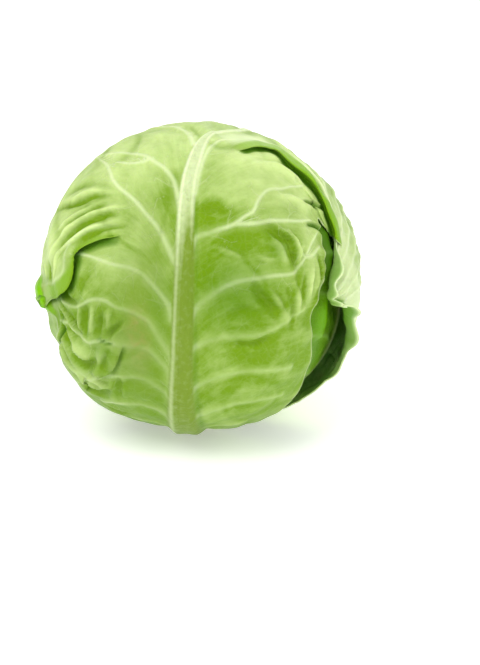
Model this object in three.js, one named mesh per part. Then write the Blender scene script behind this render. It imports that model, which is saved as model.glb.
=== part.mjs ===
// A head of green cabbage, standing on its cut stem.
// Five wrapper leaves grow from a short conical stem and wrap a firm heart. Each starts 137.5 degrees round
// from the last and lies one layer further in, with a raised midrib, raised side veins and a waved margin.
// Millimetres and degrees. +Z is up, the front is -Y, and the origin is the centre of the stem's cut face.
import * as THREE from "three";

// Driving dimensions of the whole head
const WIDEST_R = 98.5;
const CENTRE_Z = 94.5;
const CROWN_H = 96.5;
const BASE_H = 94.5;
const BASE_FULLNESS = 0.3;
const DIMPLE_DEPTH = 6;
const DIMPLE_ANGLE = 20;

// Leaves: how they are layered and how thick they are
const TURN_PER_LEAF = 137.5;
const LAYER_STEP = 4.2;
const BLADE = 1.3;
const HEART_INSET = 21;

// Stem: a cone whose point would be the centre of the head
const STEM_CONE_ANGLE = 11;
const STEM_TOP_Z = 22;
const STEM_CHAMFER = 1.2;
const STEM_SIDES = 32;
const LEAF_START = STEM_CONE_ANGLE + 0.5 - 90;

// Midrib and vein sizes, from the leaf's base to its tip
const MIDRIB_HALF_WIDTH = [[-79, 12], [-40, 10], [0, 6.8], [45, 4.2], [100, 2.2], [130, 1.6]];
const MIDRIB_HEIGHT = [[-79, 4.6], [-40, 4.2], [0, 2.9], [45, 1.8], [100, 1.1], [130, 0.8]];
const VEIN_HEIGHT = 1.4;
const VEIN_HALF_WIDTH_ROWS = 0.1;
const BLISTER_HEIGHT = 0.9;
const WAVES_FROM_SHARE = 0.72;
const FOLD_LENGTH_ROWS = 1.6;

const radians = THREE.MathUtils.degToRad;
const clamp = THREE.MathUtils.clamp;
const smooth = THREE.MathUtils.smoothstep;

// A smooth curve through [x, y] pairs with x rising
function along(pairs, x) {
  const last = pairs.length - 1;
  if (x <= pairs[0][0]) return pairs[0][1];
  if (x >= pairs[last][0]) return pairs[last][1];
  const i = pairs.findIndex((pair) => pair[0] >= x) - 1;
  const slope = (j) => {
    const before = pairs[Math.max(j - 1, 0)];
    const after = pairs[Math.min(j + 1, last)];
    return (after[1] - before[1]) / (after[0] - before[0]);
  };
  const [x0, y0] = pairs[i];
  const [x1, y1] = pairs[i + 1];
  const step = x1 - x0;
  const t = (x - x0) / step;
  const bend = (y1 - y0) * t * t * (3 - 2 * t);
  return y0 + bend + step * (slope(i) * t * (1 - t) ** 2 - slope(i + 1) * t * t * (1 - t));
}

// Values spaced evenly from 0 to an end, as pairs for the curve above
const spaced = (values, end) => values.map((y, i) => [(end * i) / (values.length - 1), y]);

// Unit direction from the head's centre. Rise is the angle up a leaf's midrib from the widest level, and
// spread the angle to its side: plain latitude and longitude below that level, great circles above it.
function direction(azimuth, rise, spread) {
  const [a, r, s] = [azimuth, rise, spread].map(radians);
  const out = new THREE.Vector3(Math.sin(a), -Math.cos(a), 0);
  const side = new THREE.Vector3(Math.cos(a), Math.sin(a), 0);
  const up = new THREE.Vector3(0, 0, 1);
  const reach = rise < 0 ? Math.cos(r) * Math.sin(s) : Math.sin(s);
  const lift = rise < 0 ? Math.sin(r) : Math.cos(s) * Math.sin(r);
  return out.multiplyScalar(Math.cos(s) * Math.cos(r)).addScaledVector(side, reach).addScaledVector(up, lift);
}

// Distance from the centre to the outermost layer: round above, fuller below, dimpled round the stem
function bodyRadius(n) {
  const below = smooth(-n.z, 0, 0.3);
  const power = 2 + BASE_FULLNESS * below;
  const height = n.z > 0 ? CROWN_H : BASE_H;
  const round = (Math.hypot(n.x, n.y) / WIDEST_R) ** power + (Math.abs(n.z) / height) ** power;
  const fromBase = THREE.MathUtils.radToDeg(Math.acos(clamp(-n.z, -1, 1)));
  return round ** (-1 / power) - DIMPLE_DEPTH * Math.exp(-((fromBase / DIMPLE_ANGLE) ** 2));
}

const onBody = (n, offset) => {
  const point = n.clone().multiplyScalar(bodyRadius(n) + offset);
  point.z += CENTRE_Z;
  return point;
};

// Rib lines run from the midrib (first value) to the margin (last value). Each gives the rise at even
// steps across one side of the blade, and the rows of a leaf, from its base to its tip, follow them.
const PLAIN_RIBS = [
  [LEAF_START, LEAF_START, LEAF_START, LEAF_START, LEAF_START, LEAF_START],
  [-60, -57, -55, -54, -53, -52],
  [-43, -37, -34, -32, -31, -30],
  [-27, -18, -13, -11, -10, -9],
  [-12, 0, 6, 9, 10, 11],
  [3, 18, 26, 30, 32, 33],
  [19, 36, 45, 50, 53, 55],
  [37, 54, 63, 68, 71, 73],
  [56, 72, 80, 85, 87, 88],
  [76, 88, 94, 97, 98, 98],
  [106, 106, 105, 103, 100, 96],
];
const PLAIN_WIDTHS = [48, 60, 70, 77, 81, 82, 80, 75, 66, 54, 34];

// The right leaf's rib lines: an older, shorter leaf that ends beside the crown
const SHORT_RIBS = [
  [LEAF_START, LEAF_START, LEAF_START, LEAF_START, LEAF_START, LEAF_START],
  [-60, -57, -55, -54, -53, -52],
  [-44, -38, -35, -33, -32, -31],
  [-30, -22, -17, -15, -14, -13],
  [-17, -8, -3, -1, 0, 0],
  [-5, 5, 9, 11, 12, 12],
  [7, 16, 20, 22, 23, 23],
  [19, 27, 30, 31, 32, 32],
  [32, 37, 38, 38, 37, 36],
  [45, 46, 46, 45, 44, 42],
  [61, 60, 58, 56, 54, 52],
];

// The front leaf's rib lines, left and right of its midrib. It laps over itself twice: along row 7 on the
// left and along row 11 on the right.
const FRONT_LEFT_RIBS = [
  [LEAF_START, LEAF_START, LEAF_START, LEAF_START, LEAF_START, LEAF_START],
  [-61, -56, -55, -55, -55, -55],
  [-43, -36, -37, -40, -42, -43],
  [-27, -20, -24, -28, -30, -31],
  [-15, -8, -8, -11, -15, -19],
  [-5, 4, 7, -2, -10, -14],
  [3, 20, 28, 8, -7, -11],
  [12, 30, 35, 14, -3, -7],
  [16, 38, 48, 42, 36, 32],
  [23, 48, 63, 68, 70, 68],
  [40, 70, 84, 91, 94, 92],
  [62, 90, 101, 104, 105, 103],
  [88, 106, 111, 111, 110, 108],
  [117, 117, 116, 115, 114, 112],
];
const FRONT_RIGHT_RIBS = [
  [LEAF_START, LEAF_START, LEAF_START, LEAF_START, LEAF_START, LEAF_START],
  [-60, -56, -53, -51, -50, -50],
  [-43, -35, -32, -31, -31, -31],
  [-26, -18, -17, -18, -18, -18],
  [-11, -4, -3, -5, -6, -6],
  [-1, 5, 6, 6, 7, 9],
  [9, 15, 18, 18, 25, 33],
  [18, 25, 29, 30, 35, 42],
  [24, 31, 36, 38, 43, 50],
  [32, 40, 47, 51, 55, 57],
  [45, 56, 65, 67, 66, 62],
  [62, 77, 83, 77, 71, 65],
  [88, 98, 102, 102, 99, 95],
  [117, 116, 114, 112, 110, 108],
];

// Where the grid's columns lie on each side, as shares of the way from the margin to the midrib's edge
const COARSE_SHARES = [1, 0.82, 0.62, 0.42, 0.2];
const FINE_SHARES = [1, 0.88, 0.74, 0.58, 0.4, 0.22, 0.08];
const FOLD_SHARES = [1, 0.88, 0.75, 0.64, 0.55, 0.47, 0.39, 0.31, 0.2, 0.08];

// The five wrapper leaves, outermost first. Widths are the angles from the midrib's line to the margins, one
// for each rib line, and lean is the midrib's own spread at a rise.
const LEAVES = [
  {
    name: "leaf_right",
    colour: 0xa9cd6b,
    turn: -1,
    leftRibs: SHORT_RIBS,
    rightRibs: SHORT_RIBS,
    leftWidths: [50, 56, 60, 64, 73, 74, 75, 70, 54, 38, 20],
    rightWidths: [50, 60, 70, 77, 79, 77, 72, 66, 58, 44, 22],
    lean: [[-40, 0], [20, -2], [62, -5]],
    relief: 1,
    waves: { height: 3.4, cycles: 5.5, shift: 0.4 },
    shares: FINE_SHARES,
    veinFeet: true,
  },
  {
    name: "leaf_front",
    colour: 0xb4d57c,
    turn: 0,
    leftRibs: FRONT_LEFT_RIBS,
    rightRibs: FRONT_RIGHT_RIBS,
    leftWidths: [46, 56, 64, 70, 77, 80, 81, 80, 78, 74, 66, 54, 42, 26],
    rightWidths: [48, 54, 56, 55, 54, 56, 60, 62, 62, 60, 58, 70, 58, 26],
    lean: [[-70, -9], [-20, -8], [10, -6], [40, -3], [65, 0], [90, 4], [115, 8]],
    relief: 1,
    leftFold: { row: 7, lift: [[0.28, 0], [0.52, 4.4], [1, 4.4]] },
    rightFold: { row: 11, lift: [[0.1, 0], [0.36, 4.8], [0.7, 4.6], [0.9, 2], [1, 1]] },
    waves: { height: 0.9, cycles: 6.5, shift: 0 },
    shares: FOLD_SHARES,
    veinFeet: true,
  },
  {
    name: "leaf_left",
    colour: 0x9fc65f,
    turn: 1,
    leftRibs: PLAIN_RIBS,
    rightRibs: PLAIN_RIBS,
    leftWidths: PLAIN_WIDTHS,
    rightWidths: PLAIN_WIDTHS,
    lean: [[-40, 0], [90, 6]],
    relief: 0.6,
    waves: { height: 0.7, cycles: 5, shift: 0.2 },
    shares: FINE_SHARES,
    veinFeet: true,
  },
  {
    name: "leaf_under_right",
    colour: 0x93bf50,
    turn: 2,
    leftRibs: PLAIN_RIBS,
    rightRibs: PLAIN_RIBS,
    leftWidths: PLAIN_WIDTHS,
    rightWidths: PLAIN_WIDTHS,
    lean: [[-40, 0], [90, -5]],
    relief: 0.5,
    waves: { height: 0.3, cycles: 4, shift: 0.6 },
    shares: COARSE_SHARES,
    veinFeet: false,
  },
  {
    name: "leaf_under_left",
    colour: 0x93bf50,
    turn: 3,
    leftRibs: PLAIN_RIBS,
    rightRibs: PLAIN_RIBS,
    leftWidths: PLAIN_WIDTHS,
    rightWidths: PLAIN_WIDTHS,
    lean: [[-40, 0], [90, 5]],
    relief: 0.5,
    waves: { height: 0.3, cycles: 4, shift: 0.1 },
    shares: COARSE_SHARES,
    veinFeet: false,
  },
];

// Rise of a leaf's surface at a row and a share of the way from the midrib's edge to the margin
function riseAt(ribs, row, share) {
  const across = ribs.map((rib) => along(spaced(rib, 1), share));
  return along(spaced(across, ribs.length - 1), row);
}

// Height of the vein ridges: a crest on every rib line but the base, the tip and the line of a fold
function veinHeight(leaf, row, side, share) {
  const nearest = Math.round(row);
  const fold = side < 0 ? leaf.leftFold : leaf.rightFold;
  const bare = nearest === 0 || nearest === leaf.leftRibs.length - 1 || nearest === fold?.row;
  const onRib = Math.max(0, 1 - Math.abs(row - nearest) / VEIN_HALF_WIDTH_ROWS);
  return bare ? 0 : leaf.relief * VEIN_HEIGHT * onRib * (1 - 0.65 * share);
}

// Where a leaf laps over itself along a rib line: a sharp step up, sloping away towards the tip
function foldHeight(fold, row, share) {
  if (!fold) return 0;
  const step = smooth(row, fold.row - VEIN_HALF_WIDTH_ROWS, fold.row);
  const away = 1 - smooth(row, fold.row, fold.row + FOLD_LENGTH_ROWS);
  return step * away * along(fold.lift, share);
}

// The margin stands off in waves along the upper part of a leaf
function waveHeight(waves, row, rows, share) {
  const edge = smooth(share, WAVES_FROM_SHARE, 1) * smooth(row, 1, 4);
  return waves.height * edge * (1 + Math.sin(2 * Math.PI * ((waves.cycles * row) / rows + waves.shift)));
}

// One leaf's outer and inner points. Side is -1 left and 1 right of the midrib, share is 0 at the midrib's
// edge and 1 at the margin, and middle is 1 on the midrib's crest and 0 at its edges.
function leafPoint(leaf, layer, row, [side, share, middle]) {
  const riseLeft = riseAt(leaf.leftRibs, row, share);
  const riseRight = riseAt(leaf.rightRibs, row, share);
  const rise = THREE.MathUtils.lerp(side < 0 ? riseLeft : riseRight, (riseLeft + riseRight) / 2, middle);
  const rows = leaf.leftRibs.length - 1;
  const width = along(spaced(side < 0 ? leaf.leftWidths : leaf.rightWidths, rows), row);
  const levelR = WIDEST_R * Math.cos(radians(Math.min(rise, 0)));
  const ribEdge = THREE.MathUtils.radToDeg(along(MIDRIB_HALF_WIDTH, rise) / levelR);
  const spread = along(leaf.lean, rise) + side * (ribEdge * (1 - middle) + share * (width - ribEdge));
  const n = direction(leaf.azimuth, rise, spread);

  const puff = Math.sin(Math.PI * (row % 1)) ** 2 * 4 * share * (1 - share);
  const fold = foldHeight(side < 0 ? leaf.leftFold : leaf.rightFold, row, share);
  const wave = waveHeight(leaf.waves, row, rows, share);
  const blade = leaf.relief * BLISTER_HEIGHT * puff + wave + fold - layer * LAYER_STEP;
  const midrib = Math.sqrt(middle * (2 - middle)) * along(MIDRIB_HEIGHT, rise);
  const vein = middle > 0 ? 0 : veinHeight(leaf, row, side, share);
  return [onBody(n, blade + midrib + vein), onBody(n, blade - BLADE)];
}

// Grid rows: the crest of each vein, its foot on both sides where the leaf has them, and the puff halfway
function rowsOf(leaf) {
  const ribs = leaf.leftRibs.length;
  const rows = [0, 0.5];
  for (let rib = 1; rib < ribs - 1; rib += 1) {
    if (leaf.veinFeet) rows.push(rib - VEIN_HALF_WIDTH_ROWS, rib, rib + VEIN_HALF_WIDTH_ROWS, rib + 0.5);
    else rows.push(rib, rib + 0.5);
  }
  rows.push(ribs - 1.25, ribs - 1);
  return rows;
}

// Grid columns from the left margin to the right one
function columnsOf(leaf) {
  const left = leaf.shares.map((share) => [-1, share, 0]);
  const middle = [[-1, 0, 0], [-1, 0, 0.5], [1, 0, 1], [1, 0, 0.5], [1, 0, 0]];
  const right = leaf.shares.map((share) => [1, share, 0]).reverse();
  return [...left, ...middle, ...right];
}

// A closed solid from an outer and an inner grid of points with the same rows and columns
function shell(outer, inner) {
  const rowCount = outer.length;
  const columnCount = outer[0].length;
  const points = [...outer.flat(), ...inner.flat()];
  const at = (layer, row, column) => layer * rowCount * columnCount + row * columnCount + column;
  const faces = [];
  const quad = (a, b, c, d) => faces.push(a, b, c, a, c, d);
  for (let row = 0; row < rowCount - 1; row += 1) {
    for (let column = 0; column < columnCount - 1; column += 1) {
      quad(at(0, row, column), at(0, row, column + 1), at(0, row + 1, column + 1), at(0, row + 1, column));
      faces.push(at(1, row, column), at(1, row + 1, column + 1), at(1, row, column + 1));
      faces.push(at(1, row, column), at(1, row + 1, column), at(1, row + 1, column + 1));
    }
  }
  for (let row = 0; row < rowCount - 1; row += 1) {
    const last = columnCount - 1;
    quad(at(0, row, 0), at(0, row + 1, 0), at(1, row + 1, 0), at(1, row, 0));
    quad(at(0, row + 1, last), at(0, row, last), at(1, row, last), at(1, row + 1, last));
  }
  for (let column = 0; column < columnCount - 1; column += 1) {
    const last = rowCount - 1;
    quad(at(0, 0, column + 1), at(0, 0, column), at(1, 0, column), at(1, 0, column + 1));
    quad(at(0, last, column), at(0, last, column + 1), at(1, last, column + 1), at(1, last, column));
  }
  const geometry = new THREE.BufferGeometry().setFromPoints(points);
  geometry.setIndex(faces);
  geometry.computeVertexNormals();
  return geometry;
}

function leafGeometry(leaf, layer) {
  const columns = columnsOf(leaf);
  const grid = rowsOf(leaf).map((row) => columns.map((column) => leafPoint(leaf, layer, row, column)));
  const outer = grid.map((line) => line.map(([top]) => top));
  const inner = grid.map((line) => line.map(([, under]) => under));
  return shell(outer, inner);
}

// The heart: a closed ball whose surface steps down along the spiral margins of its own leaves
const HEART_MERIDIANS = 30;
const HEART_LEVELS = 16;
const HEART_LEAVES = 3;
const HEART_STEP = 1.6;

function heartGeometry() {
  const surface = (level, turn) => {
    const n = direction((360 * turn) / HEART_MERIDIANS, (180 * level) / HEART_LEVELS - 90, 0);
    const lap = ((turn / HEART_MERIDIANS + level / (HEART_LEVELS * 4)) * HEART_LEAVES) % 1;
    const fade = Math.sin((Math.PI * level) / HEART_LEVELS);
    return onBody(n, -HEART_INSET - HEART_STEP * fade * lap);
  };
  const points = [surface(0, 0)];
  for (let level = 1; level < HEART_LEVELS; level += 1) {
    for (let turn = 0; turn < HEART_MERIDIANS; turn += 1) points.push(surface(level, turn));
  }
  points.push(surface(HEART_LEVELS, 0));
  const at = (level, turn) => 1 + (level - 1) * HEART_MERIDIANS + (turn % HEART_MERIDIANS);
  const faces = [];
  for (let turn = 0; turn < HEART_MERIDIANS; turn += 1) {
    faces.push(0, at(1, turn + 1), at(1, turn));
    faces.push(points.length - 1, at(HEART_LEVELS - 1, turn), at(HEART_LEVELS - 1, turn + 1));
    for (let level = 1; level < HEART_LEVELS - 1; level += 1) {
      faces.push(at(level, turn), at(level, turn + 1), at(level + 1, turn + 1));
      faces.push(at(level, turn), at(level + 1, turn + 1), at(level + 1, turn));
    }
  }
  const geometry = new THREE.BufferGeometry().setFromPoints(points);
  geometry.setIndex(faces);
  geometry.computeVertexNormals();
  return geometry;
}

// The stem: cut flat below, tapering up into the head
function stemGeometry() {
  const radiusAt = (z) => (CENTRE_Z - z) * Math.tan(radians(STEM_CONE_ANGLE));
  const profile = [
    new THREE.Vector2(0, 0),
    new THREE.Vector2(radiusAt(0) - STEM_CHAMFER, 0),
    new THREE.Vector2(radiusAt(STEM_CHAMFER), STEM_CHAMFER),
    new THREE.Vector2(radiusAt(STEM_TOP_Z), STEM_TOP_Z),
    new THREE.Vector2(0, STEM_TOP_Z),
  ];
  return new THREE.LatheGeometry(profile, STEM_SIDES).rotateX(Math.PI / 2);
}

function named(name, geometry, colour, roughness) {
  const material = new THREE.MeshStandardMaterial({ color: colour, roughness, metalness: 0 });
  const mesh = new THREE.Mesh(geometry, material);
  mesh.name = name;
  return mesh;
}

const head = new THREE.Group();
head.add(named("stem", stemGeometry(), 0xdfe3bf, 0.6));
head.add(named("heart", heartGeometry(), 0xcfe0a0, 0.5));
LEAVES.forEach((leaf, layer) => {
  leaf.azimuth = -TURN_PER_LEAF * leaf.turn;
  head.add(named(leaf.name, leafGeometry(leaf, layer), leaf.colour, 0.45));
});

export default head;
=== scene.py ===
# %% [markdown]
# A head of green cabbage on its cut stem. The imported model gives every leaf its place, and this lesson gives
# each one its real surface: a fine leaf blade with a raised midrib, branching veins, folds, a rolled or waved
# margin and a waxy skin. Everything is in metres in Blender, and the shaping sums are in millimetres.

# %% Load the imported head
import math

import bmesh
import bpy
import numpy as np
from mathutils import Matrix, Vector
from mathutils.kdtree import KDTree


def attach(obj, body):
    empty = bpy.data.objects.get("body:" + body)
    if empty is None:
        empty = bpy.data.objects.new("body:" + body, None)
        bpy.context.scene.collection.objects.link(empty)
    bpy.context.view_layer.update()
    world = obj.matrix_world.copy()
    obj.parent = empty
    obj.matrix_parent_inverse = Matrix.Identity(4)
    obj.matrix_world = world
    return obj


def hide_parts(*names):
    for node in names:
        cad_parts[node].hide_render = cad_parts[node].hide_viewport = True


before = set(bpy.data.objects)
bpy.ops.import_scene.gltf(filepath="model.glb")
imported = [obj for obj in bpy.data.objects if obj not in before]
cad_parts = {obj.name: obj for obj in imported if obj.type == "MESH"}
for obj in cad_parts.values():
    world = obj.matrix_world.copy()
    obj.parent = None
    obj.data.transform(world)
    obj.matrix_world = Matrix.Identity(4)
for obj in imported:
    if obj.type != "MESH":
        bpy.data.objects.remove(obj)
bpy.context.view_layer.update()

MM = 0.001
print("CAD nodes:", sorted(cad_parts))

# %% [markdown]
# All leaves lie on one body: a round crown, a slightly fuller underside and a dimple round the stem. A point on
# it is given as a leaf sees it. Rise is the angle up the leaf's midrib from the widest level, and spread is the
# angle to the side of the midrib. One body for all leaves keeps them nested the way leaves in a head are.

# %% The body that the leaves wrap
WIDEST_R, CROWN_H, BASE_H, CENTRE_Z = 98.5, 96.5, 94.5, 94.5
BASE_FULLNESS, DIMPLE_DEPTH, DIMPLE_ANGLE = 0.3, 6.0, 20.0
LAYER_STEP = 4.2
TURN_PER_LEAF = 137.5
LEAF_START = -78.5
MM_PER_DEGREE = math.radians(1) * WIDEST_R


def smooth(x, low, high):
    """0 below low, 1 above high, and a soft step between them."""
    t = np.clip((np.asarray(x, float) - low) / (high - low), 0, 1)
    return t * t * (3 - 2 * t)


def fading(x, low, high):
    """1 below low, 0 above high."""
    return 1 - smooth(x, low, high)


def bell(x, size=1):
    """1 at x = 0, fading softly to 0 on both sides of it."""
    return np.exp(-((x / size) ** 2))


def eased(t, first, second, first_slope, second_slope):
    """A smooth step from one value to the next that keeps the slope at both."""
    step = (second - first) * t * t * (3 - 2 * t)
    return first + step + first_slope * t * (1 - t) ** 2 - second_slope * t * t * (1 - t)


def along(pairs, x):
    """A smooth curve through (x, y) pairs, read at one place or at many."""
    knots, values = np.array(pairs, float).T
    last = len(knots) - 1
    before = np.maximum(np.arange(last + 1) - 1, 0)
    after = np.minimum(np.arange(last + 1) + 1, last)
    slopes = (values[after] - values[before]) / (knots[after] - knots[before])
    x = np.clip(x, knots[0], knots[-1])
    i = np.clip(np.searchsorted(knots, x) - 1, 0, last - 1)
    step = knots[i + 1] - knots[i]
    return eased((x - knots[i]) / step, values[i], values[i + 1], step * slopes[i], step * slopes[i + 1])


def direction(azimuth, rise, spread):
    """Unit directions from the head's centre, one row for each place on the leaf."""
    rise, spread = np.broadcast_arrays(np.asarray(rise, float), np.asarray(spread, float))
    a, r, s = math.radians(azimuth), np.radians(rise), np.radians(spread)
    ahead = np.array([math.sin(a), -math.cos(a), 0])
    side = np.array([math.cos(a), math.sin(a), 0])
    below = rise < 0
    reach = np.where(below, np.cos(r) * np.sin(s), np.sin(s))
    lift = np.where(below, np.sin(r), np.cos(s) * np.sin(r))
    return (np.cos(s) * np.cos(r))[:, None] * ahead + reach[:, None] * side + lift[:, None] * np.array([0, 0, 1])


def body_radius(n):
    """Distance from the head's centre to its outermost layer, in millimetres."""
    power = 2 + BASE_FULLNESS * smooth(-n[:, 2], 0, 0.3)
    height = np.where(n[:, 2] > 0, CROWN_H, BASE_H)
    level = np.hypot(n[:, 0], n[:, 1]) / WIDEST_R
    round_form = level ** power + (np.abs(n[:, 2]) / height) ** power
    from_base = np.degrees(np.arccos(np.clip(-n[:, 2], -1, 1)))
    return round_form ** (-1 / power) - DIMPLE_DEPTH * bell(from_base, DIMPLE_ANGLE)


print("crown", round(float(body_radius(np.array([[0, 0, 1.0]]))[0]), 1), "mm above the centre")

# %% [markdown]
# A real leaf's side veins leave the midrib steeply and bend outwards, so the leaf's rows follow them. Each short
# list below is one such row: the rise at even steps from the midrib to the margin. The front leaf has more
# rows, because it laps over itself in two places, and the right leaf is older and shorter than the others.

# %% The rows of each leaf
START_ROW = [LEAF_START] * 6
PLAIN_ROWS = [
    START_ROW, [-60, -57, -55, -54, -53, -52], [-43, -37, -34, -32, -31, -30], [-27, -18, -13, -11, -10, -9],
    [-12, 0, 6, 9, 10, 11], [3, 18, 26, 30, 32, 33], [19, 36, 45, 50, 53, 55], [37, 54, 63, 68, 71, 73],
    [56, 72, 80, 85, 87, 88], [76, 88, 94, 97, 98, 98], [106, 106, 105, 103, 100, 96],
]
SHORT_ROWS = [
    START_ROW, [-60, -57, -55, -54, -53, -52], [-44, -38, -35, -33, -32, -31], [-30, -22, -17, -15, -14, -13],
    [-17, -8, -3, -1, 0, 0], [-5, 5, 9, 11, 12, 12], [7, 16, 20, 22, 23, 23], [17, 24, 28, 30, 33, 35],
    [27, 32, 35, 37, 40, 43], [37, 40, 42, 43, 44, 45], [49, 50, 50, 49, 48, 47],
]
FRONT_LEFT_ROWS = [
    START_ROW, [-61, -56, -55, -55, -55, -55], [-43, -36, -37, -40, -42, -43], [-27, -20, -24, -28, -30, -31],
    [-15, -8, -8, -11, -15, -19], [-5, 5, 8, 2, -8, -14], [3, 19, 25, 14, -2, -10], [12, 28, 32, 27, 7, -2],
    [16, 38, 45, 44, 35, 26], [23, 48, 63, 68, 70, 66], [40, 70, 84, 91, 94, 92], [62, 90, 101, 104, 105, 103],
    [88, 106, 111, 111, 110, 108], [117, 117, 116, 115, 114, 112],
]
FRONT_RIGHT_ROWS = [
    START_ROW, [-60, -56, -53, -51, -50, -50], [-43, -35, -32, -31, -31, -31], [-26, -18, -17, -18, -18, -18],
    [-11, -4, -3, -4, -4, -3], [-1, 5, 6, 6, 7, 8], [9, 15, 18, 18, 20, 21], [18, 25, 29, 31, 31, 29],
    [24, 31, 36, 39, 41, 37], [32, 40, 47, 52, 52, 45], [45, 55, 64, 68, 64, 54], [62, 74, 78, 73, 56, 44],
    [88, 98, 102, 100, 94, 86], [117, 116, 114, 112, 110, 108],
]
PLAIN_WIDTHS = [48, 60, 70, 77, 81, 82, 80, 75, 66, 54, 34]
MIDRIB_HALF_WIDTH = [
    (-79, 12), (-40, 8.6), (-15, 6.8), (0, 6.5), (20, 5.9), (41, 5.0), (54, 4.8), (64, 4.5), (72, 3.9), (80, 2.9),
    (92, 2.5), (130, 1.6),
]
MIDRIB_HEIGHT = [(-79, 4.6), (-40, 3.6), (0, 2.3), (45, 1.6), (70, 1.2), (100, 1.0), (130, 0.8)]


def rise_at(rows, row, share):
    """Rise at a row (a number between two of the listed ones) and a share of the way to the margin."""
    steps = np.linspace(0, 1, len(rows[0]))
    across = np.stack([along(list(zip(steps, line)), share) for line in rows])
    last = len(rows) - 1
    i = np.clip(np.floor(row).astype(int), 0, last - 1)
    pick = lambda j: across[np.clip(j, 0, last), np.arange(row.size)]
    slope = lambda j: (pick(j + 1) - pick(j - 1)) / (np.clip(j + 1, 0, last) - np.clip(j - 1, 0, last))
    return eased(row - i, pick(i), pick(i + 1), slope(i), slope(i + 1))


# %% [markdown]
# Every leaf starts as a flat grid. Its columns are packed closer at the midrib and its rows closer where the
# blade folds, so that the small forms there get enough points. Each point then learns where it lies on the leaf.

# %% Flat leaf grids
MIDRIB_SHARE = 0.085
FOLD_CROWDING, FOLD_SPAN = 3.2, 0.35


def piece_from(bm, name):
    """Turns a bmesh into a piece of the scene."""
    mesh = bpy.data.meshes.new(name)
    bm.to_mesh(mesh)
    bm.free()
    piece = bpy.data.objects.new(name, mesh)
    bpy.context.scene.collection.objects.link(piece)
    return piece


def flat_grid(name, rows, columns):
    """A flat grid of two by two units with a UV map. Gives the piece and its points' places."""
    bm = bmesh.new()
    bm.loops.layers.uv.new("leaf")
    bmesh.ops.create_grid(bm, x_segments=columns, y_segments=rows, size=1, calc_uvs=True)
    piece = piece_from(bm, name)
    co = np.empty(len(piece.data.vertices) * 3)
    piece.data.vertices.foreach_get("co", co)
    return piece, co[0::3], co[1::3]


def crowded_rows(v, last, folds):
    """Turns even steps from -1 to 1 into rows from 0 to last, closer together at the folds."""
    fine = np.linspace(0, last, 4000)
    density = np.ones_like(fine)
    for fold in folds:
        density += FOLD_CROWDING * bell(fine - fold - 0.1, FOLD_SPAN)
    total = np.concatenate([[0], np.cumsum(density[1:])])
    return np.interp((v + 1) / 2, total / total[-1], fine)


class Blade:
    """What each point of one leaf's grid knows about its place."""

    def __init__(self, name, azimuth, layer, left, right, lean, rows=120, columns=110, folds=()):
        self.name, self.azimuth, self.layer = name, azimuth, layer
        self.left, self.right, self.lean_pairs = left, right, lean
        self.piece, u, v = flat_grid(name, rows, columns)
        self.last = len(left["rows"]) - 1
        self.row = crowded_rows(v, self.last, folds)
        self.leftward = u < 0
        self.share = np.clip((np.abs(u) - MIDRIB_SHARE) / (1 - MIDRIB_SHARE), 0, 1)
        self.middle = np.clip(1 - np.abs(u) / MIDRIB_SHARE, 0, 1)
        both = [rise_at(side["rows"], self.row, self.share) for side in (left, right)]
        own = np.where(self.leftward, both[0], both[1])
        self.rise = own + (sum(both) / 2 - own) * self.middle
        steps = np.arange(self.last + 1)
        widths = [along(list(zip(steps, side["widths"])), self.row) for side in (left, right)]
        self.width = np.where(self.leftward, widths[0], widths[1])
        self.level_mm = MM_PER_DEGREE * np.cos(np.radians(np.minimum(self.rise, 0)))
        rib_edge = along(MIDRIB_HALF_WIDTH, self.rise) / self.level_mm
        reach = rib_edge * (1 - self.middle) + self.share * (self.width - rib_edge)
        self.rib_place = reach / rib_edge
        self.spread = along(lean, self.rise) + np.where(self.leftward, -1, 1) * reach
        self.to_margin = (1 - self.share) * (self.width - rib_edge) * self.level_mm
        self.height = np.full(self.row.shape, -layer * LAYER_STEP)

    def mm_per_degree(self):
        """Millimetres along the body for one degree of rise and one of spread."""
        up = MM_PER_DEGREE * np.where(self.rise < 0, 1, np.cos(np.radians(self.spread)))
        return np.maximum(up, 0.2), self.level_mm

    def slide(self, up_mm, side_mm):
        """Moves the points along the body."""
        up, side = self.mm_per_degree()
        self.rise = self.rise + up_mm / up
        self.spread = self.spread + side_mm / side

    def points(self):
        """The points in millimetres, in the head's own frame."""
        n = direction(self.azimuth, self.rise, self.spread)
        found = n * (body_radius(n) + self.height)[:, None]
        return found + np.array([0, 0, CENTRE_Z])

    def on_ball(self):
        """The points on a plain ball as the leaf sees it, used to measure along the skin."""
        return direction(0, self.rise, self.spread) * WIDEST_R


PLAIN_HALF = dict(rows=PLAIN_ROWS, widths=PLAIN_WIDTHS)
front = Blade(
    "front_leaf", 0, 1,
    dict(rows=FRONT_LEFT_ROWS, widths=[46, 56, 64, 66, 60, 57, 60, 66, 78, 76, 66, 54, 42, 26]),
    dict(rows=FRONT_RIGHT_ROWS, widths=[48, 54, 56, 54, 51, 55, 58, 58, 57, 56, 54, 69, 60, 26]),
    [(-78, -8), (-40, -6.4), (-15, -4.9), (0, -4.2), (20, -3.5), (41, -3), (54, -2), (64, -0.2), (70, 1),
     (78, 3.2), (84, 6.2), (90, 10.5), (96, 15), (118, 22)],
    rows=296, columns=160, folds=(7, 11),
)
right = Blade(
    "right_leaf", TURN_PER_LEAF, 0,
    dict(rows=SHORT_ROWS, widths=[50, 58, 66, 74, 82, 86, 86, 82, 71, 47, 22]),
    dict(rows=SHORT_ROWS, widths=[50, 60, 70, 77, 79, 77, 72, 66, 58, 44, 22]),
    [(-40, 0), (20, -2), (62, -5)], rows=240, columns=200,
)
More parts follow.
